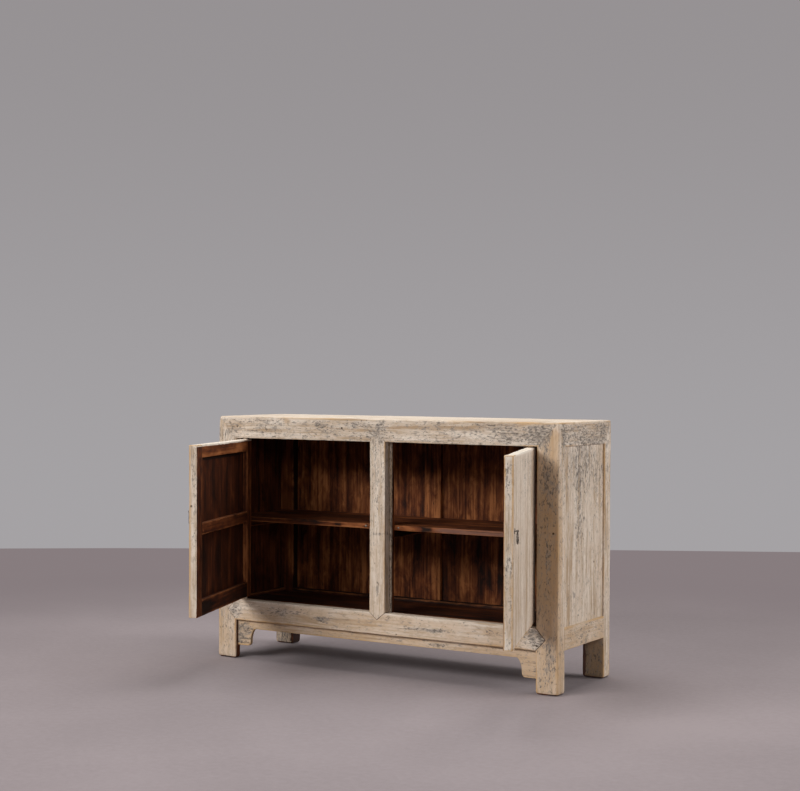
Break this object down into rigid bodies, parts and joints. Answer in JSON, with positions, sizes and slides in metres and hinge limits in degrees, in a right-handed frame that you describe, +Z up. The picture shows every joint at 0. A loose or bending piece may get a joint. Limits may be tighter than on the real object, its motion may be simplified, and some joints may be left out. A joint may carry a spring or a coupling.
{
  "type": "chinese sideboard",
  "caption": "Low bleached-wood sideboard with flush mitred frame, spandrelled apron, shelf and hinged doors on wooden pivots with ring pulls.",
  "frame": {"origin": "on the floor, under the middle of the box that holds the sideboard with its doors open as at rest", "axes": "+X to the right along the front, +Y to the back, +Z up"},
  "size_m": [1.4316, 0.8924, 0.86],
  "materials": {
    "bleached_wood": "bleached and distressed, with grey paint remains",
    "brown_wood": "dark red-brown, worn, satin",
    "dark_iron": "dark aged iron"
  },
  "bodies": {
    "carcass": {"apron": "bleached_wood", "back_board_left_inner": "brown_wood", "back_board_left_outer": "brown_wood", "back_board_right_inner": "brown_wood", "back_board_right_outer": "brown_wood", "back_post": "brown_wood", "centre_stile": "bleached_wood", "door_stop": "brown_wood", "floor_bearer_centre": "brown_wood", "floor_bearer_left": "brown_wood", "floor_bearer_right": "brown_wood", "floor_board_front": "brown_wood", "floor_board_rear": "brown_wood", "leg_front_left": "bleached_wood", "leg_front_right": "bleached_wood", "leg_rear_left": "bleached_wood", "leg_rear_right": "bleached_wood", "lower_rail_front": "bleached_wood", "lower_rail_left": "bleached_wood", "lower_rail_rear": "bleached_wood", "lower_rail_right": "bleached_wood", "shelf_bearer_centre": "brown_wood", "shelf_bearer_left": "brown_wood", "shelf_bearer_right": "brown_wood", "shelf_board_front": "brown_wood", "shelf_board_rear": "brown_wood", "side_board_left_front": "bleached_wood", "side_board_left_rear": "bleached_wood", "side_board_right_front": "bleached_wood", "side_board_right_rear": "bleached_wood", "top_batten_centre": "brown_wood", "top_batten_left": "brown_wood", "top_batten_right": "brown_wood", "top_board_front": "bleached_wood", "top_board_rear": "bleached_wood", "top_rail_front": "bleached_wood", "top_rail_left": "bleached_wood", "top_rail_rear": "bleached_wood", "top_rail_right": "bleached_wood"},
    "left_door": {"left_door_batten": "bleached_wood", "left_door_board_free_side": "bleached_wood", "left_door_board_hinge_side": "bleached_wood", "left_door_bottom_rail": "bleached_wood", "left_door_free_stile": "bleached_wood", "left_door_hinge_stile": "bleached_wood", "left_door_top_rail": "bleached_wood", "left_pull_staple": "dark_iron"},
    "left_pull": {"left_pull_drop": "dark_iron"},
    "right_door": {"right_door_batten": "bleached_wood", "right_door_board_free_side": "bleached_wood", "right_door_board_hinge_side": "bleached_wood", "right_door_bottom_rail": "bleached_wood", "right_door_free_stile": "bleached_wood", "right_door_hinge_stile": "bleached_wood", "right_door_top_rail": "bleached_wood", "right_pull_staple": "dark_iron"},
    "right_pull": {"right_pull_drop": "dark_iron"}
  },
  "joints": [
    {"name": "left_door_hinge", "type": "hinge", "parent": "carcass", "child": "left_door", "pos_m": [-0.60982, 0.06116, 0.5], "axis": [0, 0, -1], "range_deg": [-71.25, 48.75]},
    {"name": "right_door_hinge", "type": "hinge", "parent": "carcass", "child": "right_door", "pos_m": [0.51818, 0.06116, 0.5], "axis": [0, 0, 1], "range_deg": [-110, 10]},
    {"name": "left_pull_swing", "type": "hinge", "parent": "left_door", "child": "left_pull", "pos_m": [-0.46992, -0.42254, 0.562], "axis": [-0.3214, 0.9469, 0], "range_deg": [-9, 95]},
    {"name": "right_pull_swing", "type": "hinge", "parent": "right_door", "child": "right_pull", "pos_m": [0.71183, -0.40364, 0.562], "axis": [0.342, -0.9397, 0], "range_deg": [-9, 95]}
  ]
}
